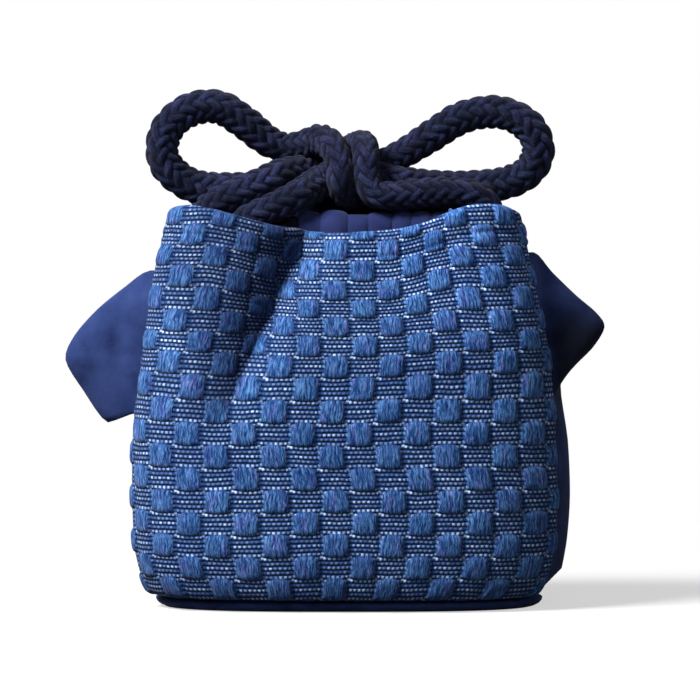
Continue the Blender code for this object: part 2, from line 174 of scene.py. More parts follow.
def addBump(tree, shader, height, strength, distance):
    node = tree.nodes.new("ShaderNodeBump")
    node.inputs["Strength"].default_value = strength
    node.inputs["Distance"].default_value = distance
    tree.links.new(height, node.inputs["Height"])
    tree.links.new(node.outputs["Normal"], shader.inputs["Normal"])


def uvParts(tree, layer):
    node = tree.nodes.new("ShaderNodeUVMap")
    node.uv_map = layer
    return splitVector(tree, node.outputs["UV"])[:2]


def placePiece(name, points, faces, material, uvs=None):
    # points in millimetres, and a uv pair for each point or each face corner
    data = bpy.data.meshes.new(name)
    data.from_pydata((np.asarray(points) * mm).tolist(), [], faces)
    data.validate()
    piece = bpy.data.objects.new(name, data)
    bpy.context.collection.objects.link(piece)
    if uvs is not None:
        uvs = np.asarray(uvs, dtype=np.float32)
        if len(uvs) == len(points):
            index = np.empty(len(data.loops), dtype=np.int32)
            data.loops.foreach_get("vertex_index", index)
            uvs = uvs[index]
        data.uv_layers.new(name="weaveMap").data.foreach_set("uv", uvs.ravel())
    data.materials.append(material)
    data.polygons.foreach_set("use_smooth", [True] * len(data.polygons))
    return piece


def giveThickness(piece, thickness):
    sheet = piece.modifiers.new("thickness", "SOLIDIFY")
    sheet.thickness = thickness * mm
    sheet.offset = -1.0
    bpy.ops.object.select_all(action="DESELECT")
    bpy.context.view_layer.objects.active = piece
    piece.select_set(True)
    bpy.ops.object.modifier_apply(modifier=sheet.name)


def ringFaces(rows, around):
    # four-sided faces between closed rings of points
    first = np.arange(rows * around).reshape(rows, around)
    turned = np.roll(first, -1, axis=1)
    return np.stack([first[:-1], turned[:-1], turned[1:], first[1:]], axis=-1).reshape(-1, 4)


def smoothShare(value):
    value = np.clip(value, 0.0, 1.0)
    return value * value * (3.0 - 2.0 * value)


def easedFrom(value, span):
    # 0 up to the start of the span and 1 past its length
    start, length = span
    return smoothShare((value - start) / length)


def softTable(table, key, column, blur):
    # a table's column read at a height, with its corners rounded off
    table = np.asarray(table)
    key = np.asarray(key, dtype=float)
    steps = (-1.0, -0.5, 0.0, 0.5, 1.0)
    return sum(np.interp(key + step * blur, table[:, 0], table[:, column]) for step in steps) / 5.0


def softCorners(value, power):
    # bends a circle's sine or cosine towards a rounded box
    return np.sign(value) * np.abs(value) ** power


def easedStep(start, end, slopeIn, slopeOut, t):
    # a smooth way from start to end that keeps the slope at both
    return (start * (2 * t ** 3 - 3 * t ** 2 + 1) + slopeIn * (t ** 3 - 2 * t ** 2 + t)
            + end * (3 * t ** 2 - 2 * t ** 3) + slopeOut * (t ** 3 - t ** 2))


def waveNoise(x, y, seed, scale):
    # smooth repeatable unevenness between about -1 and 1
    turn = np.random.RandomState(seed)
    total = 0.0
    for _ in range(7):
        angle = turn.uniform(0.0, 2.0 * math.pi)
        length = turn.uniform(0.6, 1.8)
        phase = turn.uniform(0.0, 2.0 * math.pi)
        total = total + np.sin((x * math.cos(angle) + y * math.sin(angle)) * length / scale
                               + phase)
    return total / 3.6


# body sizes in millimetres: height, left half width, right half width, half depth
bodyShape = {
    "profile": ((0.0, 52.0, 51.0, 28.0), (3.0, 55.5, 54.5, 30.0), (8.0, 58.0, 57.5, 31.5),
                (16.0, 59.8, 59.6, 32.8), (32.0, 60.2, 60.3, 33.8), (50.0, 60.2, 59.0, 33.5),
                (70.0, 58.2, 55.8, 32.0), (90.0, 55.0, 51.5, 29.5), (109.0, 50.5, 47.5, 27.0)),
    "edgeDepth": ((0.0, 6.0, 15.5), (42.0, 6.0, 15.5), (58.0, 7.0, 11.5),
                  (72.0, 7.0, 8.0), (109.0, 6.0, 6.0)),
    "topEdge": ((-60.0, 107.6), (-48.0, 109.6), (-39.0, 109.2), (-26.0, 106.0),
                (-14.0, 102.8), (-8.0, 102.4), (8.0, 102.4), (15.0, 103.2), (22.0, 105.0),
                (31.0, 109.2), (41.0, 110.2), (48.0, 109.0), (60.0, 106.5)),
    "bottom": 3.2, "top": 109.0, "squareLow": 2.9, "squareHigh": 2.4,
    "dentDepth": 7.0, "dentRight": 8.0, "dentTop": (-12.5, 101.0),
    "dentRun": 0.45, "dentLow": 42.0, "foldDepth": 4.6, "foldRight": 5.5,
    "foldSharp": (52.0, 28.0), "foldEase": (94.0, 6.0), "easeShare": 0.32,
    "foldReach": (9.0, 13.0),
    "tableRows": 113, "tableColumns": 257,
}
# painted shade on the fold's steep side and at the foot, and painted light on the upper right,
# with places in millimetres
paintedLightAndShade = {"foldWidth": (14.0, 20.0), "foldWidens": (56.0, 40.0), "foldCurve": 0.55,
             "foldEdge": (-1.6, 2.4), "foldEnds": (45.0, 15.0), "footReach": (17.0, 14.0),
             "footShade": 0.42, "paintedLightAbove": (62.0, 34.0), "paintedLightRightOf": (-8.0, 40.0)}


def sectionPower(z):
    share = smoothShare(z / bodyShape["top"])
    return bodyShape["squareLow"] + (bodyShape["squareHigh"] - bodyShape["squareLow"]) * share


def creaseX(z):
    # the crease of the fold in the upper left leans as it goes down
    return bodyShape["dentTop"][0] - (bodyShape["dentTop"][1] - z) * bodyShape["dentRun"]


def dentAt(x, z):
    # the fold steepens from the left down to its crease, then rises sharply
    shape = bodyShape
    off = x - creaseX(z)
    fade = easedFrom(z, (shape["dentLow"], shape["top"] - shape["dentLow"]))
    sharp = easedFrom(z, shape["foldSharp"])
    sharp = sharp * (1.0 - shape["easeShare"] * easedFrom(z, shape["foldEase"]))
    dent, fold = shape["dentDepth"] * fade, shape["foldDepth"] * sharp
    narrow, extra = shape["foldReach"]
    left = (dent + fold) * np.clip(1.0 + off / (narrow + extra * fade), 0.0, 1.0) ** 2
    right = (dent * np.exp(-(off / shape["dentRight"]) ** 2)
             + fold * np.exp(-(off / shape["foldRight"]) ** 2))
    return np.where(off < 0.0, left, right)


# painted shade: the cloth darkens on the steep left side of the fold, most at its crease
def foldShadeAt(x, z, tone):
    leftOf = creaseX(z) - x
    narrow, extra = tone["foldWidth"]
    wide = narrow + extra * easedFrom(z, tone["foldWidens"])
    shade = np.clip(1.0 - leftOf / wide, 0.0, 1.0) ** tone["foldCurve"]
    return shade * easedFrom(leftOf, tone["foldEdge"]) * easedFrom(z, tone["foldEnds"])


def sectionAt(z, inset):
    # left half width, right half width and half depth
    return [softTable(bodyShape["profile"], z, column, 3.0) - inset for column in (1, 2, 3)]


def edgeDepths(z):
    return [float(softTable(bodyShape["edgeDepth"], z, column, 4.0)) for column in (1, 2)]


def frontY(x, z, inset):
    left, right, depth = sectionAt(z, inset)
    power = sectionPower(z)
    share = np.minimum(np.abs(x) / np.where(x < 0.0, left, right), 1.0)
    return -depth * (1.0 - share ** power) ** (1.0 / power)


def edgeX(z, side, inset, depthY):
    left, right, depth = sectionAt(z, inset)
    power = sectionPower(z)
    half = left if side < 0 else right
    return side * half * (1.0 - min(depthY / depth, 1.0) ** power) ** (1.0 / power)


def makeLineTable(inset):
    # evenly spaced places across the front, a row for each millimetre of height
    rows, columns = bodyShape["tableRows"], bodyShape["tableColumns"]
    shares = np.linspace(0.0, 1.0, columns)
    swing = -np.cos(np.linspace(0.0, math.pi, 400))
    tableX = np.zeros((rows, columns))
    for row, z in enumerate(np.linspace(0.0, rows - 1.0, rows)):
        leftY, rightY = edgeDepths(z)
        start, end = edgeX(z, -1, inset, leftY), edgeX(z, 1, inset, rightY)
        x = 0.5 * (start + end) + 0.5 * (end - start) * swing
        y = frontY(x, z, inset)
        run = np.concatenate([[0.0], np.cumsum(np.hypot(np.diff(x), np.diff(y)))])
        tableX[row] = np.interp(shares * run[-1], run, x)
    return tableX


def readTable(table, z, share):
    lastRow, lastColumn = table.shape[0] - 1, table.shape[1] - 1
    row = np.clip(z, 0.0, lastRow - 0.001)
    column = np.clip(share, 0.0, 1.0) * lastColumn
    r0 = np.floor(row).astype(int)
    c0 = np.minimum(np.floor(column).astype(int), lastColumn - 1)
    fr, fc = row - r0, column - c0
    low = table[r0, c0] * (1 - fc) + table[r0, c0 + 1] * fc
    high = table[r0 + 1, c0] * (1 - fc) + table[r0 + 1, c0 + 1] * fc
    return low * (1 - fr) + high * fr


# thick round braid: two families of strands wind over and under each other
cordShape = {"radius": 4.4, "strands": 8, "pitch": 14.6, "around": 64, "step": 0.50,
             "relief": 0.85, "swell": 4.38, "turnLift": 1.2, "bulge": 0.6, "leftBulge": 2.1,
             "knotHalf": 17.0, "knotLow": 108.0, "colour": (0.0090, 0.0135, 0.0450),
             "light": (0.034, 0.044, 0.125), "dark": (0.0012, 0.0022, 0.0085),
             "violetTint": (1.30, 0.92, 1.08)}
# a channel's lobes are start, end, lift and fullness
channelShape = {"left": -14.0, "right": 27.0, "bottom": 89.9, "slit": 2.9,
                "wall": 1.0, "clothThick": 0.8, "cordRadius": 3.4, "cordGap": 0.5,
                "sections": 201, "sides": 48, "square": 3.2, "slack": 0.3,
                "endShare": 0.14, "endReach": 3.6, "endFlare": 1.2, "endRise": 2.4,
                "backRise": (4.4, 4.4, 2.2, 1.8, 1.8, 1.9, 1.6),
                "lobes": ((-14.0, -8.0, 0.9, 0.1), (-8.0, -0.6, 1.3, 1.2), (-0.6, 5.0, 0.1, 0.9),
                          (5.0, 11.4, 0.8, 1.2), (11.4, 16.6, 1.7, 0.8), (16.6, 22.0, 1.0, 1.0),
                          (22.0, 27.0, 0.7, 0.9))}
channelShape["halfY"] = (channelShape["cordRadius"] + channelShape["cordGap"]
                         + channelShape["wall"])
channelShape["halfZ"] = (2.0 * channelShape["cordRadius"] + 1.5 * channelShape["cordGap"]
                         + channelShape["wall"])
channelShape["y"] = channelShape["slit"] + channelShape["halfY"]
channelShape["z"] = channelShape["bottom"] + channelShape["halfZ"]
runShift = channelShape["cordRadius"] + 0.5 * channelShape["cordGap"]
lowerRun, upperRun = channelShape["z"] - runShift, channelShape["z"] + runShift

# cord routes in millimetres: x, y, z and radius
leftFrontStrand = (
    (-20.0, -8.2, 94.8, 3.4), (-27.0, -10.6, 96.2, 3.8), (-31.2, -12.6, 100.2, 4.0),
    (-28.2, -13.1, 104.7, 4.1), (-22.0, -13.1, 108.0, 4.0), (-15.0, -12.0, 111.4, 3.7),
    (-11.2, -7.8, 113.4, 3.3), (-8.0, -3.8, 115.6, 3.1), (-3.0, -2.8, 118.2, 3.0),
    (2.0, -2.8, 118.5, 3.0), (6.8, -3.0, 117.9, 3.2), (11.8, -2.8, 116.3, 3.8))
rightLoop = (
    (18.0, -1.2, 114.9, 4.3), (27.0, 0.0, 114.2, 4.3), (36.0, 0.1, 114.5, 4.3),
    (43.6, 0.0, 115.6, 4.3), (49.0, -0.5, 118.8, 4.3), (51.3, -1.0, 124.2, 4.3),
    (49.3, -1.0, 129.8, 4.3), (44.6, -0.6, 133.5, 4.3), (37.6, 0.0, 134.8, 4.3),
    (30.0, 0.5, 132.9, 4.3), (22.4, 1.4, 128.3, 4.2), (16.2, 2.8, 124.4, 3.9))
leftBackStrand = (
    (11.2, 3.8, 121.7, 3.4), (6.6, 4.0, 119.9, 3.1), (2.0, 3.8, 119.3, 3.0),
    (-2.0, 3.8, 119.0, 3.0), (-6.5, 4.0, 118.7, 3.0), (-11.0, 2.6, 118.3, 3.2),
    (-15.6, -2.4, 118.3, 3.8), (-18.8, -5.6, 117.4, 4.1), (-22.6, -7.8, 115.6, 4.2),
    (-30.0, -8.4, 112.6, 4.2), (-36.6, -6.6, 109.2, 4.2), (-40.4, -2.2, 104.8, 4.2),
    (-39.0, 3.0, 99.9, 4.1), (-32.0, 6.6, 96.0, 3.9), (-22.0, 7.6, 94.8, 3.4))
rightFrontStrand = (
    (32.6, -7.7, 102.2, 3.5), (36.8, -7.4, 105.0, 3.9), (36.2, -8.2, 109.8, 4.2),
    (30.5, -9.6, 112.4, 4.2), (20.0, -10.4, 112.5, 4.0), (11.6, -11.4, 111.7, 3.5),
    (6.4, -11.4, 112.7, 3.1), (4.5, -10.4, 117.0, 3.05), (4.3, -9.0, 121.8, 3.05),
    (4.0, -4.2, 125.4, 3.1), (2.6, 3.4, 126.0, 3.1), (-0.6, 10.4, 124.0, 3.2),
    (-3.8, 12.2, 119.6, 3.4), (-8.2, 12.0, 116.4, 3.6), (-15.0, 9.2, 114.7, 4.1))
leftLoop = (
    (-24.0, 5.2, 114.0, 4.3), (-33.0, 2.6, 113.5, 4.4), (-41.0, 1.6, 114.0, 4.4),
    (-47.2, 0.6, 117.0, 4.4), (-50.9, -0.4, 122.0, 4.4), (-50.8, -0.6, 127.8, 4.4),
    (-47.4, -0.4, 132.8, 4.4), (-42.0, 0.4, 135.8, 4.4), (-35.2, 1.4, 135.8, 4.4),
    (-28.6, 2.6, 131.6, 4.4), (-22.6, 3.8, 126.9, 4.3), (-17.6, 4.2, 125.0, 3.9))
rightBackStrand = (
    (-12.4, 2.8, 125.9, 3.4), (-7.8, -0.6, 126.9, 3.2), (-4.6, -6.8, 124.9, 3.1),
    (-2.9, -10.0, 120.0, 3.05), (-2.6, -10.4, 115.6, 3.05), (-1.0, -6.4, 112.2, 3.1),
    (4.0, 1.6, 111.9, 3.3), (11.0, 8.2, 112.1, 3.8), (20.0, 10.6, 112.3, 4.1),
    (30.5, 10.2, 112.3, 4.2), (36.2, 8.2, 109.8, 4.2), (36.8, 7.4, 105.0, 3.9),
    (32.6, 7.7, 102.2, 3.5))
joinX, joinGap = 6.0, 0.8


def channelRun(startX, endX, y, z):
    return [(startX + (endX - startX) * i / 4.0, y, z, channelShape["cordRadius"])
            for i in range(5)]


def channelTurn(centreX, side, z, lift):
    # outside the channel the cord swells and may rise a little
    points = []
    for i in range(5):
        swing = math.pi * (i + 0.5) / 5.0 - 0.5 * math.pi
        slack = math.cos(swing) ** 0.7
        radius = channelShape["cordRadius"]
        radius = radius + (cordShape["swell"] - radius) * slack
        points.append((centreX + side * channelShape["y"] * math.cos(swing),
                       -channelShape["y"] * math.sin(swing), z + lift * slack, radius))
    return points


def smoothRoute(route, step):
    route = np.asarray(route, dtype=float)
    fine = []
    last = len(route) - 1
    for i in range(last):
        before, start = route[max(i - 1, 0)], route[i]
        end, after = route[i + 1], route[min(i + 2, last)]
        reach = np.linalg.norm((end - start)[:3])
        slopeIn = (end - before) * reach / max(np.linalg.norm((end - before)[:3]), reach)
        slopeOut = (after - start) * reach / max(np.linalg.norm((after - start)[:3]), reach)
        fine += [easedStep(start, end, slopeIn, slopeOut, part / 8.0) for part in range(8)]
    fine.append(route[-1])
    fine = np.asarray(fine)
    run = np.concatenate([[0.0], np.cumsum(np.linalg.norm(np.diff(fine[:, :3], axis=0), axis=1))])
    count = int(round(run[-1] / step))
    places = np.linspace(0.0, run[-1], count + 1)
    return np.stack([np.interp(places, run, fine[:, k]) for k in range(4)], axis=1), run[-1]


def carriedFrames(points):
    # directions square to the route that never twist about it
    along = np.gradient(points, axis=0)
    along /= np.linalg.norm(along, axis=1)[:, None]
    side = np.cross(along[0], (0.0, 0.0, 1.0))
    sides = [side / np.linalg.norm(side)]
    for direction in along[1:]:
        side = sides[-1] - direction * np.dot(sides[-1], direction)
        sides.append(side / np.linalg.norm(side))
    sides = np.asarray(sides)
    return sides, np.cross(along, sides)


def braidMaterial(settings):
    material, tree, shader = newMaterial("braidedCotton", settings["colour"], 0.95, 0.06)
    plus, minus, times = sumsFor(tree)
    # u and v count strands of the two families, which go over two and under two
    u, v = uvParts(tree, "weaveMap")
    cellU, cellV = mathStep(tree, "FLOOR", u), mathStep(tree, "FLOOR", v)
    step = mathStep(tree, "WRAP", minus(cellU, cellV), 4.0, 0.0)
    secondOnTop = mathStep(tree, "GREATER_THAN", step, 1.5)
    fibresU = noiseAt(tree, joinVector(tree, times(u, 9.0), times(v, 1.8)), 1.0, 3.0, 0.65)
    fibresV = noiseAt(tree, joinVector(tree, times(v, 9.0), times(u, 1.8), 7.0), 1.0, 3.0, 0.65)
    fibres = mixValue(tree, secondOnTop, fibresU, fibresV)
    # painted shade darkens the grooves along both sides of the strand on top
    edge = mixValue(tree, secondOnTop, mathStep(tree, "PINGPONG", u, 0.5),
                    mathStep(tree, "PINGPONG", v, 0.5))
    grooveShade = smoothMask(tree, edge, 0.0, 0.30)
    # each strand has its own shade, and some lean to violet
    strand = mixValue(tree, secondOnTop, cellU, cellV)
    strandShade = randomAt(tree, joinVector(tree, strand, secondOnTop, 2.0))
    coordinates = tree.nodes.new("ShaderNodeTexCoord").outputs["Object"]
    patches = noiseAt(tree, coordinates, 210.0, 3.0, 0.6)
    tone = plus(times(fibres, 0.55), times(patches, 0.45))
    tone = plus(tone, times(minus(strandShade, 0.5), 0.12))
    colour = colourRamp(tree, tone, ((0.34, settings["dark"]), (0.50, settings["colour"]),
                                     (0.68, settings["light"])))
    violet = smoothMask(tree, noiseAt(tree, coordinates, 330.0, 2.0), 0.50, 0.68)
    colour = mixColour(tree, violet, colour, tinted(tree, colour, settings["violetTint"]))
    colour = mixColour(tree, grooveShade, settings["dark"], colour)
    tree.links.new(colour, shader.inputs["Base Color"])
    fuzz = noiseAt(tree, coordinates, 2300.0, 3.0, 0.7)
    addBump(tree, shader, plus(fibres, times(fuzz, 0.5)), 0.9, 0.0006)
    return material


def makeCordPiece(name, route, node, settings, material):
    points, length = smoothRoute(route, settings["step"])
    # soften the radius so that squeezed stretches blend in
    radius = np.convolve(np.pad(points[:, 3], 6, mode="edge"), np.ones(13) / 13.0, "valid")
    place = points[:, :3]
    side, up = carriedFrames(place)
    around, strands, relief = settings["around"], settings["strands"], settings["relief"]
    theta = np.linspace(0.0, 2.0 * math.pi, around, endpoint=False)
    run = np.linspace(0.0, length, len(place))
    turnShare = theta[None, :] / (2.0 * math.pi)
    u = strands * (turnShare + run[:, None] / (settings["pitch"] * 2.0))
    v = strands * (-turnShare + run[:, None] / (settings["pitch"] * 2.0))
    a, b = u - np.floor(u), v - np.floor(v)
    # over two, under two: each stroke on top is one strand wide and two strands long
    step = (np.floor(u) - np.floor(v)) % 4
    firstOnTop = step < 1.5
    across = np.where(firstOnTop, a, b)
    lengthwise = np.where(firstOnTop, ((1.0 - step) + b) / 2.0, ((step - 2.0) + a) / 2.0)
    pillow = (1.0 - np.abs(2.0 * across - 1.0) ** 2.0) ** 0.7
    pillow *= np.clip(1.0 - np.abs(2.0 * lengthwise - 1.0) ** 2.4, 0.0, 1.0) ** 0.55
    # squeezed stretches in the knot have flatter strands
    slack = np.clip((radius - 2.9) / 1.3, 0.30, 1.0)[:, None]
    uneven = 0.22 * waveNoise(run[:, None], theta[None, :] * 4.0, 3, 2.6)
    reach = radius[:, None] - 0.55 * relief * slack
    reach = reach + relief * slack * pillow * (1.0 + uneven)
    reach = reach + 0.16 * waveNoise(run[:, None], theta[None, :] * 4.0, 5, 6.0)
    ring = (np.cos(theta)[None, :, None] * side[:, None, :]
            + np.sin(theta)[None, :, None] * up[:, None, :])
    mesh = place[:, None, :] + ring * reach[:, :, None]
    # past the last point of a ring the count of strands runs on
    uNext, vNext = np.roll(u, -1, axis=1), np.roll(v, -1, axis=1)
    uNext[:, -1] += strands
    vNext[:, -1] -= strands
    here, beside = np.stack([u, v], axis=-1), np.stack([uNext, vNext], axis=-1)
    corners = np.stack([here[:-1], beside[:-1], beside[1:], here[1:]], axis=2).reshape(-1, 2)
    lastRing = (len(place) - 1) * around
    faces = ringFaces(len(place), around).tolist()
    faces += [list(range(around - 1, -1, -1)), list(range(lastRing, lastRing + around))]
    uvs = np.concatenate([corners, here[0, ::-1], here[-1]])
    piece = placePiece(name, mesh.reshape(-1, 3), faces, material, uvs)
    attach(piece, "root")
    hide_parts(node)
    print(name, "length mm", round(length, 1), "triangles", 2 * len(faces))


def fuller(route):
    # the braid bulges between the places where the knot squeezes it, most at its left end
    swollen = []
    for x, y, z, radius in route:
        gain = cordShape["bulge"] * min(max((3.9 - radius) / 0.8, 0.0), 1.0)
        gain = gain * (cordShape["leftBulge"] if x < -6.5 else 1.0)
        inKnot = abs(x) < cordShape["knotHalf"] and z > cordShape["knotLow"]
        swollen.append((x, y, z, radius + (gain if inKnot else 0.0)))
    return swollen


channelY = channelShape["y"]
leftRoute = (channelRun(joinX + joinGap, channelShape["right"], channelY, lowerRun)
             + channelTurn(channelShape["right"], 1.0, lowerRun, 0.0)
             + channelRun(channelShape["right"], channelShape["left"], -channelY, lowerRun)
             + fuller(leftFrontStrand + rightLoop + leftBackStrand)
             + channelRun(channelShape["left"], joinX, channelY, lowerRun))
rightRoute = (channelRun(joinX, channelShape["left"], channelY, upperRun)
              + channelTurn(channelShape["left"], -1.0, upperRun, cordShape["turnLift"])
              + channelRun(channelShape["left"], channelShape["right"], -channelY, upperRun)
              + fuller(rightFrontStrand + leftLoop + rightBackStrand)
              + channelRun(channelShape["right"], joinX + joinGap, channelY, upperRun))
cordCotton = braidMaterial(cordShape)
makeCordPiece("leftBraid", leftRoute, "left_cord", cordShape, cordCotton)
makeCordPiece("rightBraid", rightRoute, "right_cord", cordShape, cordCotton)
print("cords braided")


# checker weave: blocks of upright yarns between cells of ribbed ground
weaveShape = {"columns": 16, "rows": 18, "perColumn": 20, "perRow": 16, "thick": 1.8,
              "ground": 0.8, "relief": 0.86, "blockHalf": (0.43, 0.53), "corner": 3.4,
              "ribs": 5, "dashes": 6.0, "ribHeight": 0.12, "wide": 122.0, "tall": 105.0,
              "edgeRolls": ((2.0, 1.5), (1.6, 1.1), (1.8, 0.7)), "hemLine": (7.5, 0.7, 0.35),
              "hemThick": 1.2, "hemFold": (0.935, 0.02), "rowTall": 5.5,
              "rowsMiddleX": -4.0, "rowsBlend": (12.0, 24.0),
              "rowWeights": (0.85, 0.34, 0.95, 0.34, 0.72),
              "threads": (0.0190, 0.078, 0.262), "threadsLight": (0.120, 0.280, 0.600),
              "threadsDark": (0.0030, 0.017, 0.090), "groundDark": (0.0038, 0.0170, 0.080),
              "groundLight": (0.0170, 0.062, 0.203), "dots": (0.560, 0.720, 1.0),
              "violetTint": (1.55, 0.95, 1.08), "blockEdgeShadeTint": (0.42, 0.46, 0.56),
              "darkPatch": (0.80, 0.83, 0.88), "palePatch": (1.18, 1.14, 1.08),
              "paintedLightTint": (1.62, 1.62, 1.66), "paintedShadeTint": (0.25, 0.26, 0.31)}
# where the middle of each column lies, as a share of the width, at four heights
weaveColumns = {
    30.0: (.082, .149, .212, .273, .333, .391, .450, .509, .567, .623, .680, .738, .798, .858,
           .924, 1.0),
    57.0: (.048, .126, .196, .259, .312, .372, .433, .490, .550, .606, .666, .725, .790, .848,
           .918, .998),
    90.0: (.042, .125, .202, .266, .324, .376, .422, .479, .546, .600, .658, .712, .774, .843,
           .919, 1.0),
    102.0: (.057, .137, .212, .277, .335, .385, .426, .485, .548, .605, .657, .710, .762, .835,
            .907, 1.0)}
# rows counted from the bottom against height, in the middle and near the sides
rowsMiddle = ((3.2, 0.0), (55.0, 8.64), (66.2, 10.5), (76.95, 12.5), (86.4, 14.5), (97.2, 16.5),
              (103.0, 17.55))
rowsSide = ((3.2, 0.0), (55.0, 8.64), (67.5, 10.5), (78.3, 12.5), (90.5, 14.5), (101.3, 16.5),
            (109.6, 17.95))


def countColumns(share, z):
    heights = sorted(weaveColumns)
    counted = []
    for height in heights:
        centres = np.asarray(weaveColumns[height])
        index = np.arange(len(centres)) + 0.5
        first, last = centres[1] - centres[0], centres[-1] - centres[-2]
        places = np.concatenate([[centres[0] - first * 2.0], centres, [centres[-1] + last]])
        index = np.concatenate([[-1.5], index, [len(centres) + 0.5]])
        counted.append(np.interp(share, places, index))
    result = counted[0]
    for k in range(1, len(heights)):
        blend = smoothShare((z - heights[k - 1]) / (heights[k] - heights[k - 1]))
        result = result + (counted[k] - result) * blend
    return result


def rowsAt(table, z):
    # the rows run on past the last height of the table
    table = np.asarray(table)
    past = np.maximum(z - table[-1, 0], 0.0) / weaveShape["rowTall"]
    return np.interp(z, table[:, 0], table[:, 1]) + past


def countRows(x, z):
    share = easedFrom(np.abs(x - weaveShape["rowsMiddleX"]), weaveShape["rowsBlend"])
    inMiddle, inSide = rowsAt(rowsMiddle, z), rowsAt(rowsSide, z)
    return inMiddle + (inSide - inMiddle) * share


def weaveMaterial(settings):
    material, tree, shader = newMaterial("checkerWeave", settings["threads"], 0.92, 0.05)
    plus, minus, times = sumsFor(tree)
    step, mask, mix = partial(mathStep, tree), partial(smoothMask, tree), partial(mixColour, tree)
    u, v = uvParts(tree, "weaveMap")
    coordinates = tree.nodes.new("ShaderNodeTexCoord").outputs["Object"]

    def unevenAt(x, y, z=0.0, detail=2.0, roughness=0.5):
        return noiseAt(tree, joinVector(tree, x, y, z), 1.0, detail, roughness)

    def humps(value):
        # one rounded hump to each whole number
        return step("SINE", times(step("FRACT", value), math.pi))

    # across and upward: how far the place is from the middle of the nearest block
    odd = step("PINGPONG", plus(step("FLOOR", u), 1.0), 1.0)
    across = minus(step("FRACT", u), 0.5)
    shifted = minus(minus(v, 0.5), odd)
    upward = step("WRAP", shifted, 1.0, -1.0)
    halfWide, halfTall = settings["blockHalf"]
    roundness = plus(step("POWER", step("ABSOLUTE", times(across, 1.0 / halfWide)),
                          settings["corner"]),
                     step("POWER", step("ABSOLUTE", times(upward, 1.0 / halfTall)),
                          settings["corner"]))
    fray = minus(unevenAt(times(u, 16.0), times(v, 5.0)), 0.5)
    block = minus(1.0, mask(plus(roundness, times(fray, 0.7)), 0.80, 1.25))
    # painted shade darkens each block towards its rounded edges
    shade = minus(1.0, mask(roundness, 0.35, 1.30))

    # wavy upright yarns of the blocks
    sway = times(minus(unevenAt(times(u, 2.2), times(v, 2.6), detail=1.0), 0.5), 1.9)
    yarns = unevenAt(plus(times(u, 15.0), sway), times(v, 1.3), 0.0, 3.0, 0.65)
    fine = unevenAt(plus(times(u, 42.0), times(sway, 3.0)), times(v, 4.2), 4.0, 2.0, 0.6)
    yarnTone = plus(times(yarns, 0.62), times(fine, 0.38))
    yarnColour = colourRamp(tree, yarnTone, ((0.39, settings["threadsDark"]),
                                             (0.48, settings["threads"]),
                                             (0.60, settings["threadsLight"])))
    violet = mask(unevenAt(times(u, 3.0), times(v, 1.0), 9.0), 0.50, 0.66)
    yarnColour = mix(violet, yarnColour, tinted(tree, yarnColour, settings["violetTint"]))
    yarnColour = mix(shade, tinted(tree, yarnColour, settings["blockEdgeShadeTint"]), yarnColour)

    # ribbed ground: five rows of pale dashes to a cell, the middle row brightest
    ribs = float(settings["ribs"])
    ground = step("WRAP", minus(shifted, 1.0), 1.0, -1.0)
    wander = minus(unevenAt(times(u, 1.4), times(v, 0.9), 2.0, 1.0), 0.5)
    ribPlace = plus(times(plus(ground, 0.5), ribs), times(wander, 0.5))
    ribNumber = step("FLOOR", ribPlace)
    rib = humps(ribPlace)
    stops = [(k / ribs, (value,) * 3) for k, value in enumerate(settings["rowWeights"])]
    weight = colourRamp(tree, times(plus(ribNumber, 0.5), 1.0 / ribs), stops, "CONSTANT")
    dashPlace = plus(times(u, settings["dashes"]), times(ribNumber, 0.47))
    dash = humps(dashPlace)
    spark = randomAt(tree, joinVector(tree, step("FLOOR", dashPlace),
                                      step("FLOOR", times(v, ribs)), 3.0))
    dashes = times(mask(rib, 0.40, 0.95), mask(dash, 0.40, 0.95))
    dashes = times(times(dashes, plus(0.20, times(spark, 0.78))), weight)
    # dashes stop short of the gap between two columns
    dashes = times(dashes, mask(step("PINGPONG", u, 0.5), 0.02, 0.10))
    groundColour = mix(mask(rib, 0.3, 1.0), settings["groundDark"], settings["groundLight"])
    groundColour = mix(dashes, groundColour, settings["dots"])

    # short pale stitches down the left side of each block: real stitches, drawn only on the left
    # side, where the light falls, as a painted highlight
    nearLeft = minus(1.0, mask(plus(across, 0.5), 0.03, 0.13))
    besideBlock = minus(1.0, mask(step("ABSOLUTE", upward), 0.40, 0.52))
    litStitches = times(times(nearLeft, besideBlock), mask(humps(times(v, 3.0)), 0.55, 0.95))
    colour = mix(block, groundColour, yarnColour)
    colour = mix(times(litStitches, 0.65), colour, settings["threadsLight"])

    # bright knots where four cells meet, double at a block's lower left corner
    def fromCorner(value, shift):
        return step("POWER", minus(step("FRACT", plus(minus(value, shift), 0.5)), 0.5), 2.0)

    def knotAt(shiftU, shiftV, size):
        reach = step("SQRT", plus(fromCorner(u, shiftU), times(fromCorner(v, shiftV), 0.62)))
        return minus(1.0, mask(reach, 0.6 * size, 1.25 * size))

    cornerU, cornerV = step("ROUND", u), step("ROUND", v)
    parity = step("PINGPONG", plus(cornerU, cornerV), 1.0)
    knotShade = randomAt(tree, joinVector(tree, cornerU, cornerV, 5.0))
    knots = times(knotAt(0.0, 0.0, 0.055), plus(0.45, times(parity, 0.45)))
    twin = times(times(knotAt(0.095, -0.06, 0.044), parity), 0.95)
    knots = times(step("MAXIMUM", knots, twin), plus(0.5, times(knotShade, 0.5)))
    colour = mix(times(knots, 0.8), colour, settings["dots"])

    fade = mask(noiseAt(tree, coordinates, 60.0, 3.0), 0.3, 0.72)
    colour = mix(fade, tinted(tree, colour, settings["darkPatch"]),
                 tinted(tree, colour, settings["palePatch"]))
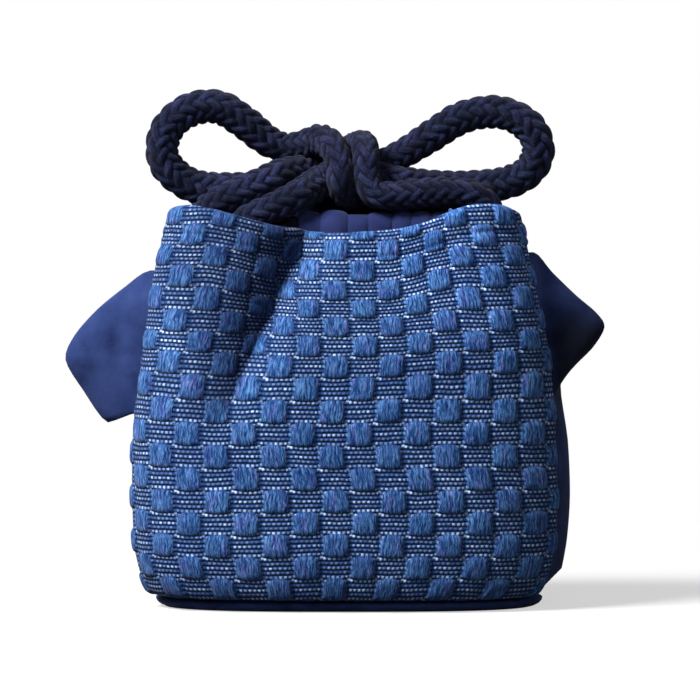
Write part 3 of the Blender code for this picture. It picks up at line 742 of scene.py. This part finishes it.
    # paler towards the upper right as painted light, and darker on the steep side of the fold and
    # at the foot as painted shade
    for layer, tint in (("clothPaintedLight", "paintedLightTint"), ("clothShade", "paintedShadeTint")):
        colour = mix(layerValue(tree, layer), colour, tinted(tree, colour, settings[tint]))
    tree.links.new(colour, shader.inputs["Base Color"])
    ridges = times(mask(rib, 0.1, 1.0), plus(0.5, times(dash, 0.5)))
    height = plus(times(times(yarnTone, block), 1.5),
                  times(ridges, times(minus(1.0, block), 0.5)))
    addBump(tree, shader, height, 1.0, 0.0006)
    return material


def weaveHeight(u, v, settings):
    halfWide, halfTall = settings["blockHalf"]
    column = np.floor(u)
    across = np.abs(u - column - 0.5) / halfWide
    shifted = v - 0.5 - (column + 1.0) % 2.0
    upward = np.abs((shifted + 1.0) % 2.0 - 1.0) / halfTall
    roundness = across ** settings["corner"] + upward ** settings["corner"]
    pillow = np.clip(1.0 - roundness, 0.0, 1.0) ** 0.45
    rib = np.abs(np.sin(math.pi * v * settings["ribs"]))
    gap = np.exp(-((1.0 - np.abs(2.0 * (u - column) - 1.0)) / 0.12) ** 2)
    ground = settings["ribHeight"] * rib - 0.22 * gap
    return np.where(roundness < 1.0, np.maximum(settings["relief"] * pillow, ground), ground)


def panelSurface(share, level, inset, facing):
    roughX = -55.0 + 110.0 * share
    top = softTable(bodyShape["topEdge"], roughX, 1, 5.0)
    z = bodyShape["bottom"] + (top - bodyShape["bottom"]) * level
    x = readTable(lineTable, z, share)
    y = frontY(x, z, inset)
    if facing < 0:
        y = y + dentAt(x, z)
    return np.stack([x, y * -facing, z], axis=-1)


def gridNormals(points, facing):
    across = np.gradient(points, axis=1)
    upward = np.gradient(points, axis=0)
    normal = np.cross(across, upward)
    normal /= np.linalg.norm(normal, axis=2)[:, :, None]
    return normal if facing < 0 else -normal


def makePanelPiece(name, facing, node, settings, material, seed):
    columns = settings["columns"] * settings["perColumn"]
    rows = settings["rows"] * settings["perRow"]
    share, level = np.meshgrid(np.linspace(0.0, 1.0, columns + 1), np.linspace(0.0, 1.0, rows + 1))
    skin = panelSurface(share, level, settings["ground"], facing)
    normal = gridNormals(skin, facing)
    # the yarns wander a little, so no two cells are quite alike
    u = countColumns(share, skin[..., 2])
    u = u + 0.04 * waveNoise(skin[..., 0], skin[..., 2], seed, 9.0)
    v = countRows(skin[..., 0], skin[..., 2])
    v = v + 0.05 * waveNoise(skin[..., 0], skin[..., 2], seed + 1, 8.0)
    height = weaveHeight(u, v, settings)
    height = height + 0.22 * waveNoise(skin[..., 0], skin[..., 2], seed + 2, 10.0)
    # edges roll inwards: folded hem at the top, seams at the sides and below
    fromTop = (1.0 - level) * settings["tall"]
    fromSide = np.minimum(share, 1.0 - share) * settings["wide"]
    fromBottom = level * settings["tall"]
    distances = (fromTop, fromSide, fromBottom)
    for distance, (reach, drop) in zip(distances, settings["edgeRolls"]):
        t = np.clip(1.0 - distance / reach, 0.0, 1.0)
        height = height * (1.0 - 0.5 * t) - drop * (1.0 - np.sqrt(1.0 - 0.98 * t * t))
    hemBelow, hemWide, hemDeep = settings["hemLine"]
    height = height - hemDeep * np.exp(-((fromTop - hemBelow) / hemWide) ** 2)
    outer = skin + normal * height[..., None]

    # the hidden inner face has a quarter of the points each way
    coarse = 4
    innerShare, innerLevel = share[::coarse, ::coarse], level[::coarse, ::coarse]
    base = panelSurface(innerShare, innerLevel, settings["ground"], facing)
    hemFold = settings["hemThick"] * easedFrom(innerLevel, settings["hemFold"])
    inner = base - gridNormals(base, facing) * (settings["thick"] + hemFold)[..., None]

    points = np.concatenate([outer.reshape(-1, 3), inner.reshape(-1, 3)])
    wide, tall = columns + 1, rows + 1
    first = np.arange(wide * tall).reshape(tall, wide)
    second = wide * tall + np.arange(inner.shape[0] * inner.shape[1]).reshape(inner.shape[:2])
    outerFaces = np.stack([first[:-1, :-1], first[:-1, 1:], first[1:, 1:], first[1:, :-1]],
                          axis=-1).reshape(-1, 4)
    innerFaces = np.stack([second[:-1, :-1], second[1:, :-1], second[1:, 1:], second[:-1, 1:]],
                          axis=-1).reshape(-1, 4)
    faces = outerFaces.tolist() + innerFaces.tolist()
    rims = ((first[0, ::-1], second[0, ::-1]), (first[-1], second[-1]),
            (first[:, 0], second[:, 0]), (first[::-1, -1], second[::-1, -1]))
    for fine, slack in rims:
        for k in range(len(slack) - 1):
            strip = fine[k * coarse:(k + 1) * coarse + 1]
            faces.append([int(i) for i in strip] + [int(slack[k + 1]), int(slack[k])])
    if facing > 0:
        faces = [face[::-1] for face in faces]
    counts = np.stack([u, v], axis=-1)
    uvs = np.concatenate([counts.reshape(-1, 2), counts[::coarse, ::coarse].reshape(-1, 2)])
    piece = placePiece(name, points, faces, material, uvs)
    x, z = points[:, 0], points[:, 2]
    # painted shade darkens the cloth near the foot and on the fold's steep side
    footTop, footBlend = paintedLightAndShade["footReach"]
    shade = paintedLightAndShade["footShade"] * smoothShare((footTop - z) / footBlend)
    if facing < 0:
        shade = np.maximum(shade, foldShadeAt(x, z, paintedLightAndShade))
    # painted light: the cloth is made paler towards the upper right
    paintedLightShare = easedFrom(z, paintedLightAndShade["paintedLightAbove"]) * easedFrom(x, paintedLightAndShade["paintedLightRightOf"])
    for layerName, values in (("clothShade", shade), ("clothPaintedLight", paintedLightShare)):
        layer = piece.data.attributes.new(layerName, "FLOAT", "POINT")
        layer.data.foreach_set("value", values.astype(np.float32))
    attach(piece, "root")
    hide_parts(node)
    print(name, "faces", len(faces))


lineTable = makeLineTable(weaveShape["ground"])
indigoWeave = weaveMaterial(weaveShape)
makePanelPiece("frontWeave", -1, "front_panel", weaveShape, indigoWeave, 11)
makePanelPiece("backWeave", 1, "back_panel", weaveShape, indigoWeave, 23)
print("panels woven")


# plain navy cotton of the bag and the cord channels
cottonShape = {"colour": (0.0260, 0.0460, 0.1550), "light": (0.0380, 0.0630, 0.1980),
               "dark": (0.0130, 0.0250, 0.0950)}
# a darker copy of the navy cotton for the gathers: painted shade for where they lie deep between
# the panels under the cords
gatherShadedShape = {"colour": (0.0190, 0.0280, 0.1020), "light": (0.0270, 0.0380, 0.1300),
               "dark": (0.0100, 0.0160, 0.0640)}
# in metres: one thread of the plain weave, and where painted shade darkens the right fold's
# underside
plainWeave = {"thread": 0.00045, "hollowTint": (0.86, 0.86, 0.88),
              "underShadeTint": (0.24, 0.19, 0.14), "underAbove": (0.050, 0.060),
              "underBelow": (0.073, 0.088), "underRightOf": (0.050, 0.058)}


def cottonMaterial(name, settings):
    material, tree, shader = newMaterial(name, settings["colour"], 0.95, 0.05)
    plus, minus, times = sumsFor(tree)
    coordinates = tree.nodes.new("ShaderNodeTexCoord").outputs["Object"]
    x, y, z = splitVector(tree, coordinates)
    patches = noiseAt(tree, coordinates, 90.0, 4.0, 0.6)
    colour = colourRamp(tree, patches, ((0.32, settings["dark"]), (0.5, settings["colour"]),
                                        (0.7, settings["light"])))
    # threads run along both ways of the cloth
    waves = 2.0 * math.pi / plainWeave["thread"]
    plain = times(mathStep(tree, "SINE", times(plus(x, y), waves)),
                  mathStep(tree, "SINE", times(z, waves)))
    slubs = noiseAt(tree, coordinates, 900.0, 2.0, 0.6)
    raised = smoothMask(tree, plus(plain, slubs), -0.4, 1.6)
    colour = mixColour(tree, raised, tinted(tree, colour, plainWeave["hollowTint"]), colour)
    # painted shade darkens the underside of the right fold
    underShade = times(smoothMask(tree, z, *plainWeave["underAbove"]),
                  minus(1.0, smoothMask(tree, z, *plainWeave["underBelow"])))
    underShade = times(underShade, smoothMask(tree, x, *plainWeave["underRightOf"]))
    colour = mixColour(tree, underShade, colour, tinted(tree, colour, plainWeave["underShadeTint"]))
    tree.links.new(colour, shader.inputs["Base Color"])
    addBump(tree, shader, plus(times(plain, 0.3), slubs), 0.35, 0.0002)
    return material


navyCotton = cottonMaterial("plainCotton", cottonShape)

# in millimetres: a ring is front and edge height, then x and height of the left and right
# crest; a shoulder is left, right, depth, three heights and how deep the pleats are
bagShape = {
    "wallInset": 3.8, "thick": 1.0, "edgeGap": 1.0, "frontSteps": 96, "sideSteps": 39,
    "bottom": 3.2, "lip": 1.9, "sideCurve": 1.8,
    "floor": ((11.0, 0.0), (5.2, 0.0), (3.6, 0.2), (2.7, 0.7), (2.1, 1.4)),
    "foot": (3.0, 3.0, -55.1, 3.0, 54.6, 3.0),
    "rings": ((10.0, 10.0, -57.0, 10.0, 58.0, 10.0), (18.0, 18.0, -58.2, 18.0, 59.4, 18.0),
              (30.0, 30.0, -58.8, 30.0, 60.2, 30.0), (42.0, 42.0, -59.0, 43.0, 59.6, 45.0),
              (49.0, 50.0, -59.6, 54.0, 57.6, 60.0), (54.0, 55.0, -66.2, 49.8, 60.6, 64.8),
              (59.0, 60.0, -73.0, 58.6, 66.2, 70.0), (64.0, 66.0, -77.8, 67.0, 69.6, 75.8),
              (69.0, 72.0, -75.2, 73.8, 67.4, 79.8), (74.0, 77.0, -68.8, 81.0, 61.8, 84.6),
              (79.0, 81.0, -61.4, 87.0, 55.2, 91.0), (83.0, 84.0, -54.6, 91.4, 50.2, 96.4)),
    "shoulders": ((-44.0, 44.5, 20.5, 85.8, 90.2, 94.0, 0.02),
                  (-31.0, 37.5, 15.5, 87.8, 89.2, 90.0, 0.05),
                  (-17.6, 30.6, 12.2, 89.5, 89.5, 89.5, 0.08)),
    "shoulderCorner": 0.14, "shoulderRound": 0.8, "shoulderSlack": 24.5, "neckPleats": 11,
    "rowPull": 0.45, "rowsBetween": 4,
    "foldsFrom": (57.0, 7.0), "foldsAbove": (44.0, 8.0), "creaseAt": (-63.5, 78.0),
    "creaseLean": 0.12, "creaseWide": 2.4, "creaseAbove": (62.0, 10.0),
}


def bagSide(edge, crestX, crestZ, settings):
    steps = settings["sideSteps"]
    share = 2.0 * np.arange(1, steps + 1) / (steps + 1) - 1.0
    bulge = 1.0 - np.abs(share) ** settings["sideCurve"]
    return np.stack([edge[0] + (crestX - edge[0]) * bulge, -edge[1] * share,
                     edge[2] + (crestZ - edge[2]) * bulge], axis=-1)


def bagRing(frontZ, edgeZ, left, leftZ, right, rightZ, inset, settings):
    leftY, rightY = [depth - settings["edgeGap"] for depth in edgeDepths(edgeZ)]
    share = np.linspace(0.0, 1.0, settings["frontSteps"] + 1)
    z = frontZ + (edgeZ - frontZ) * np.abs(2.0 * share - 1.0) ** 3
    start = edgeX(edgeZ, -1, inset, leftY)
    end = edgeX(edgeZ, 1, inset, rightY)
    x = readTable(lineTable, z, share)
    x = start + (x - x[0]) * (end - start) / (x[-1] - x[0])
    y = frontY(x, z, inset)
    y[0], y[-1] = -leftY, -rightY
    front = np.stack([x, y + dentAt(x, z), z], axis=-1)
    front[0, 1], front[-1, 1] = -leftY, -rightY
    back = np.stack([x, -y, z], axis=-1)[::-1]
    sideRight = bagSide(front[-1], right, rightZ, settings)
    sideLeft = bagSide(front[0], left, leftZ, settings)[::-1]
    return np.concatenate([front, sideRight, back, sideLeft])


def shoulderRing(left, right, depth, frontZ, leftZ, rightZ, wave, settings):
    steps, side = settings["frontSteps"], settings["sideSteps"] + 1
    index = np.arange(2 * (steps + side))
    corner = settings["shoulderCorner"]
    span = 1.0 - 2.0 * corner
    # half turns along the front, the right side, the back and the left side
    turn = np.where(index <= steps, 1.0 + corner + span * index / steps,
                    np.where(index < steps + side,
                             -corner * (1.0 - 2.0 * (index - steps) / side),
                             np.where(index <= 2 * steps + side,
                                      corner + span * (index - steps - side) / steps,
                                      1.0 - corner
                                      + 2.0 * corner * (index - 2 * steps - side) / side)))
    turn = math.pi * turn
    middle, half = 0.5 * (left + right), 0.5 * (right - left)
    ripple = 1.0 - wave * (0.5 + 0.5 * np.cos(settings["neckPleats"] * turn))
    x = middle + half * ripple * softCorners(np.cos(turn), settings["shoulderRound"])
    y = depth * ripple * softCorners(np.sin(turn), settings["shoulderRound"])
    sideZ = np.where(x < middle, leftZ, rightZ)
    z = frontZ + (sideZ - frontZ) * np.abs(np.cos(turn)) ** 3
    # the shoulder gives way where the fold presses in
    press = np.maximum(dentAt(x, z) - (settings["shoulderSlack"] - depth), 0.0)
    y = np.where(y < 0.0, y + press, y)
    return np.stack([x, y, z], axis=-1)


def makeBagPiece(settings, material):
    ring = bagRing(*settings["foot"], weaveShape["ground"], settings)
    footZ = settings["foot"][0]
    leftHalf, rightHalf, depth = sectionAt(footZ, 0.0)
    half = np.where(ring[:, 0] < 0.0, leftHalf, rightHalf)

    def floorRing(inset, z):
        return np.stack([ring[:, 0] * (1.0 - inset / half), ring[:, 1] * (1.0 - inset / depth),
                         np.full(len(ring), z)], axis=-1)

    lip, ledge = settings["lip"], settings["bottom"] - 0.5
    floor = (*settings["floor"], (lip, ledge - 0.5), (lip + 0.5, ledge - 0.1),
             (settings["wallInset"], ledge))
    rows = [floorRing(inset, z) for inset, z in floor]
    rings = [bagRing(*values, settings["wallInset"], settings) for values in settings["rings"]]
    rings += [shoulderRing(*values, settings) for values in settings["shoulders"]]
    # smooth rows between the drawn ones
    pull, between = settings["rowPull"], settings["rowsBetween"]
    for k in range(len(rings) - 1):
        before, start = rings[max(k - 1, 0)], rings[k]
        end, after = rings[k + 1], rings[min(k + 2, len(rings) - 1)]
        slopeIn, slopeOut = pull * (end - before), pull * (after - start)
        rows += [easedStep(start, end, slopeIn, slopeOut, part / between)
                 for part in range(between)]
    rows.append(rings[-1])
    rows = np.asarray(rows)
    # the two side folds sway a little, and the left one has a soft upright crease
    x, z = rows[..., 0], rows[..., 2]
    outside = easedFrom(np.abs(x), settings["foldsFrom"]) * easedFrom(z, settings["foldsAbove"])
    creaseMiddle, creaseHeight = settings["creaseAt"]
    off = x - creaseMiddle + settings["creaseLean"] * (z - creaseHeight)
    crease = np.exp(-(off / settings["creaseWide"]) ** 2) * easedFrom(z, settings["creaseAbove"])
    rows[..., 1] += outside * (0.9 * waveNoise(x, z, 61, 6.5) + 1.5 * crease)
    rows[..., 1] += outside * 0.22 * waveNoise(x, z, 67, 1.9)
    around = rows.shape[1]
    # the last face closes the floor
    faces = ringFaces(len(rows), around).tolist() + [list(range(around - 1, -1, -1))]
    piece = placePiece("navyBag", rows.reshape(-1, 3), faces, material)
    giveThickness(piece, settings["thick"])
    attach(piece, "root")
    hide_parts("inner_bag")
    print("navyBag faces", len(piece.data.polygons))


makeBagPiece(bagShape, navyCotton)


def makeChannelPiece(name, facing, node, settings, material):
    sections, sides = settings["sections"], settings["sides"]
    along = np.linspace(0.0, 1.0, sections)[:, None]
    turn = (2.0 * math.pi * (np.arange(sides) + 0.5) / sides)[None, :]
    across = softCorners(np.cos(turn), 2.0 / settings["square"])
    up = softCorners(np.sin(turn), 2.0 / settings["square"])
    x = settings["left"] + (settings["right"] - settings["left"]) * along + 0.0 * turn
    # each gather is a rounded lobe with its own height and fullness
    pleat, rise = np.zeros_like(x), np.zeros_like(x)
    if facing > 0:
        middles = [0.5 * (lobe[0] + lobe[1]) for lobe in settings["lobes"]]
        rise = rise + np.interp(x, middles, settings["backRise"])
    for start, end, lift, fullness in settings["lobes"]:
        t = np.clip((x - start) / (end - start), 0.0, 1.0)
        lobe = np.sin(math.pi * t) ** 0.5
        pleat = pleat + lobe * fullness
        rise = rise + lobe * lift
    # the back channel's cloth flares out past the cord on the left
    end = np.clip(1.0 - along / settings["endShare"], 0.0, 1.0) ** 1.4
    end = end if facing > 0 else 0.0 * along
    x = x - settings["endReach"] * end
    flare = settings["endFlare"] * end
    rise = rise + settings["endRise"] * end
    crumple = 0.22 * waveNoise(x, 9.0 * turn, 41, 2.4) + 0.12 * waveNoise(x, 5.0 * turn, 43, 0.8)
    y = across * (settings["halfY"] + flare + 0.9 * pleat * np.maximum(across, 0.0))
    y = y + crumple * np.maximum(across, 0.0)
    z = up * (settings["halfZ"] + flare - settings["slack"] + rise * np.maximum(up, 0.0))
    points = np.stack([x, facing * (settings["y"] + y), settings["z"] + z], axis=-1)
    faces = ringFaces(sections, sides)
    if facing < 0:
        faces = faces[:, ::-1]
    piece = placePiece(name, points.reshape(-1, 3), faces.tolist(), material)
    giveThickness(piece, settings["clothThick"])
    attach(piece, "root")
    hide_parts(node)
    print(name, "faces", len(piece.data.polygons))


gatherShadedCotton = cottonMaterial("gatheredCottonShaded", gatherShadedShape)
makeChannelPiece("frontGathers", -1, "front_channel", channelShape, gatherShadedCotton)
makeChannelPiece("backGathers", 1, "back_channel", channelShape, gatherShadedCotton)
print("navy cotton sewn")


# floor, lamps and background
studio = {"floorSeen": 0.93, "floorBounce": 0.10, "worldLight": 0.055, "clearFrom": 0.10,
          "clearTo": 0.32, "clearNear": 0.58, "lampAim": (0.0, 0.0, 0.07),
          "lamps": (("keyLamp", (-0.72, -0.52, 0.98), 0.46, 33.0),
                    ("fillLamp", (0.15, -1.05, 0.62), 0.70, 2.2))}


def makeStudio(settings):
    bpy.ops.mesh.primitive_plane_add(size=6.0, location=(0.0, 1.0, 0.0))
    floor = bpy.context.object
    floor.name = "studioFloor"
    material, tree, shader = newMaterial("studioPaper", (0.9, 0.9, 0.9), 1.0, 0.0)
    output = tree.nodes["Material Output"]
    glow = tree.nodes.new("ShaderNodeEmission")
    glow.inputs["Color"].default_value = (1.0, 1.0, 1.0, 1.0)
    path = tree.nodes.new("ShaderNodeLightPath")
    seen = path.outputs["Is Camera Ray"]
    bounce, paper = [(settings[k],) * 3 for k in ("floorBounce", "floorSeen")]
    tree.links.new(mixColour(tree, seen, bounce, paper), shader.inputs["Base Color"])
    # the paper turns plain white away from the pouch, and keeps its shadow near it
    place = tree.nodes.new("ShaderNodeNewGeometry").outputs["Position"]
    reach = tree.nodes.new("ShaderNodeVectorMath")
    reach.operation = "LENGTH"
    tree.links.new(place, reach.inputs[0])
    clear = smoothMask(tree, reach.outputs["Value"], settings["clearFrom"], settings["clearTo"])
    clear = mixValue(tree, clear, settings["clearNear"], 1.0)
    mix = tree.nodes.new("ShaderNodeMixShader")
    tree.links.new(mathStep(tree, "MULTIPLY", seen, clear), mix.inputs["Fac"])
    tree.links.new(shader.outputs["BSDF"], mix.inputs[1])
    tree.links.new(glow.outputs["Emission"], mix.inputs[2])
    tree.links.new(mix.outputs[0], output.inputs["Surface"])
    floor.data.materials.append(material)

    world = bpy.data.worlds.new("studioLight")
    bpy.context.scene.world = world
    world.use_nodes = True
    tree = world.node_tree
    background = tree.nodes["Background"]
    path = tree.nodes.new("ShaderNodeLightPath")
    seen = mathStep(tree, "MAXIMUM", path.outputs["Is Camera Ray"],
                    mathStep(tree, "MAXIMUM", path.outputs["Is Glossy Ray"],
                             path.outputs["Is Transmission Ray"]))
    strength = mixValue(tree, seen, settings["worldLight"], 1.0)
    tree.links.new(strength, background.inputs["Strength"])
    background.inputs["Color"].default_value = (1.0, 1.0, 1.0, 1.0)

    for name, place, size, power in settings["lamps"]:
        aim = Vector(settings["lampAim"]) - Vector(place)
        bpy.ops.object.light_add(type="AREA", location=place,
                                 rotation=aim.to_track_quat("-Z", "Y").to_euler())
        lamp = bpy.context.object
        lamp.name = name
        lamp.data.size = size
        lamp.data.energy = power
    bpy.context.scene.view_settings.view_transform = "Standard"


makeStudio(studio)
print("studio lit")
